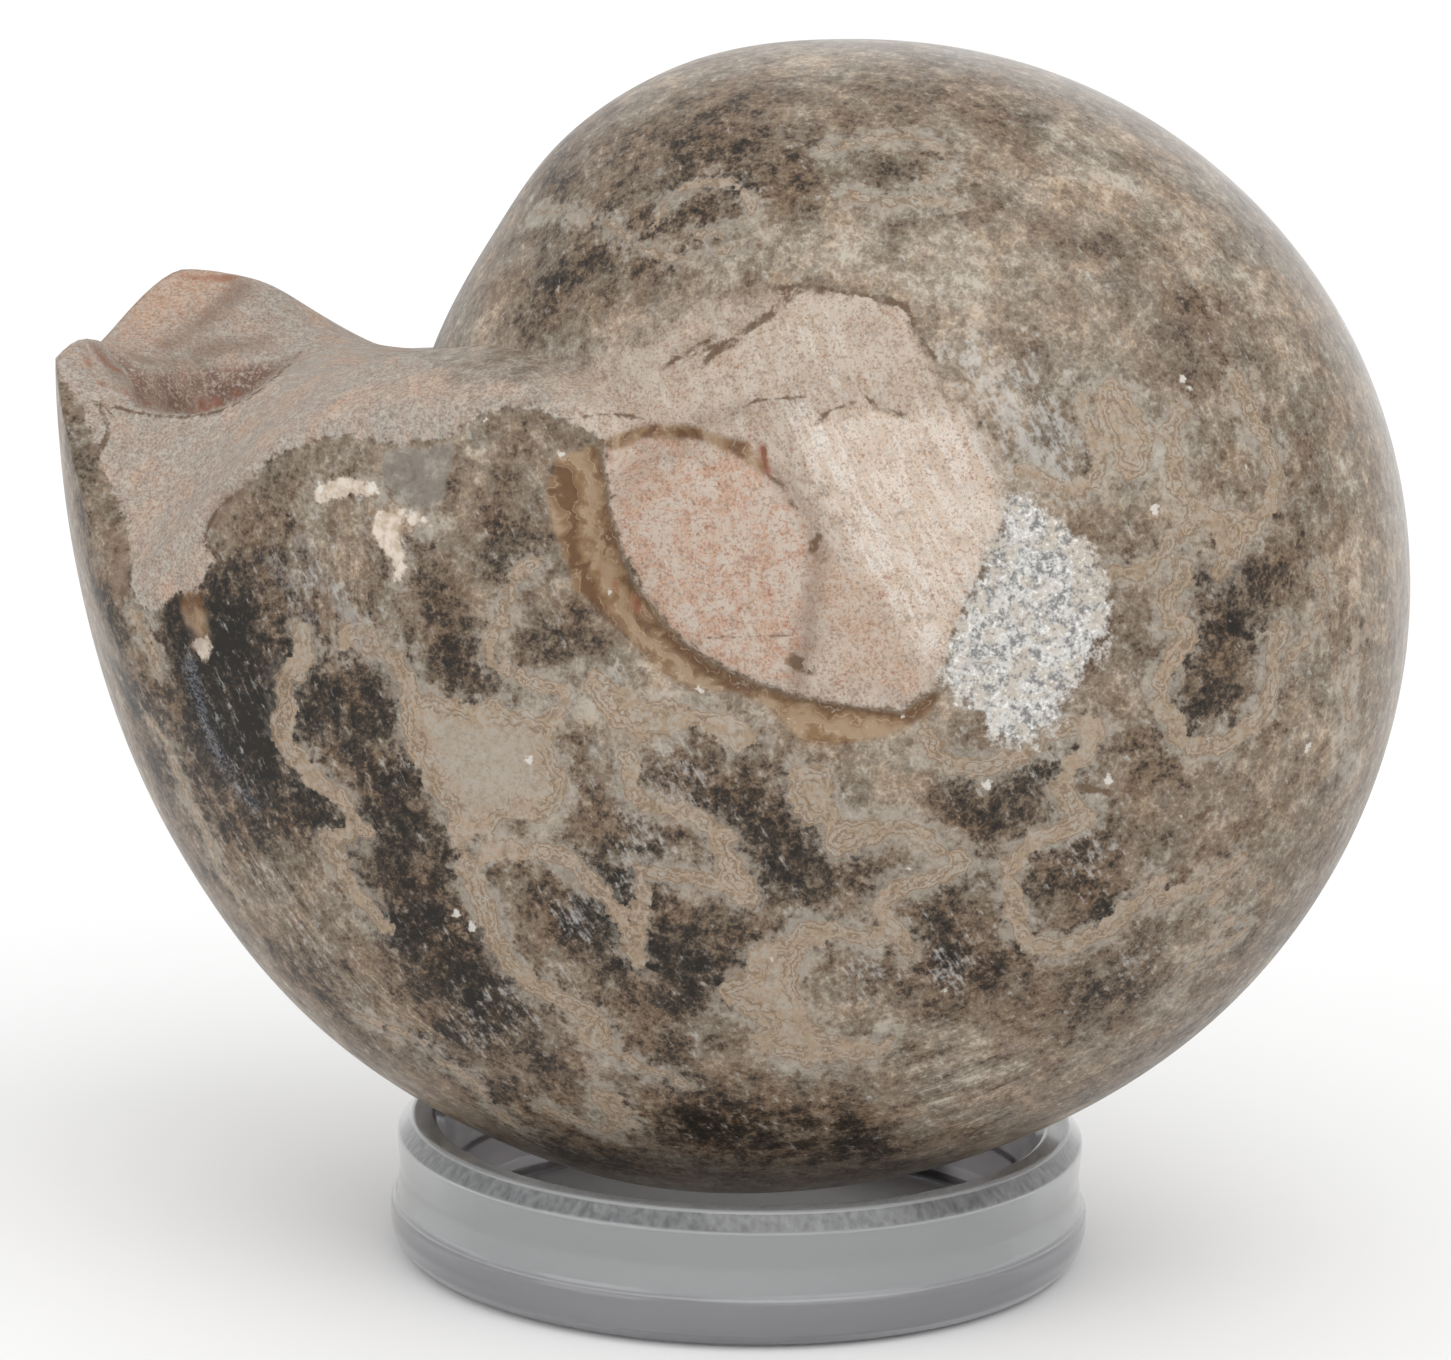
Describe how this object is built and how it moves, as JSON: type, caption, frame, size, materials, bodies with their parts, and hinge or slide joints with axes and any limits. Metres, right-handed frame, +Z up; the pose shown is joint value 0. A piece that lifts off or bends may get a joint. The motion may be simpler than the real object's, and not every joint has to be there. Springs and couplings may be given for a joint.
{
  "type": "ammonite fossil on ring stand",
  "caption": "Globose spiral ammonite fossil with a broken, dished mouth and a plugged navel, standing upright on its outer edge in a low clear ring stand.",
  "frame": {"origin": "middle of the bounding box's bottom, on the plane that the ring stand rests on", "axes": "+Z up; the coil's axis is along Y and its navel with the bright rock plug faces -Y; the broken mouth opens upwards at -X"},
  "size_m": [0.0986, 0.0548, 0.0889],
  "materials": {
    "fossil_stone": "polished, mottled brown and tan",
    "clear_acrylic": "clear, glossy"
  },
  "bodies": {
    "root": {"ammonite": "fossil_stone", "ring_stand": "clear_acrylic"}
  },
  "joints": []
}
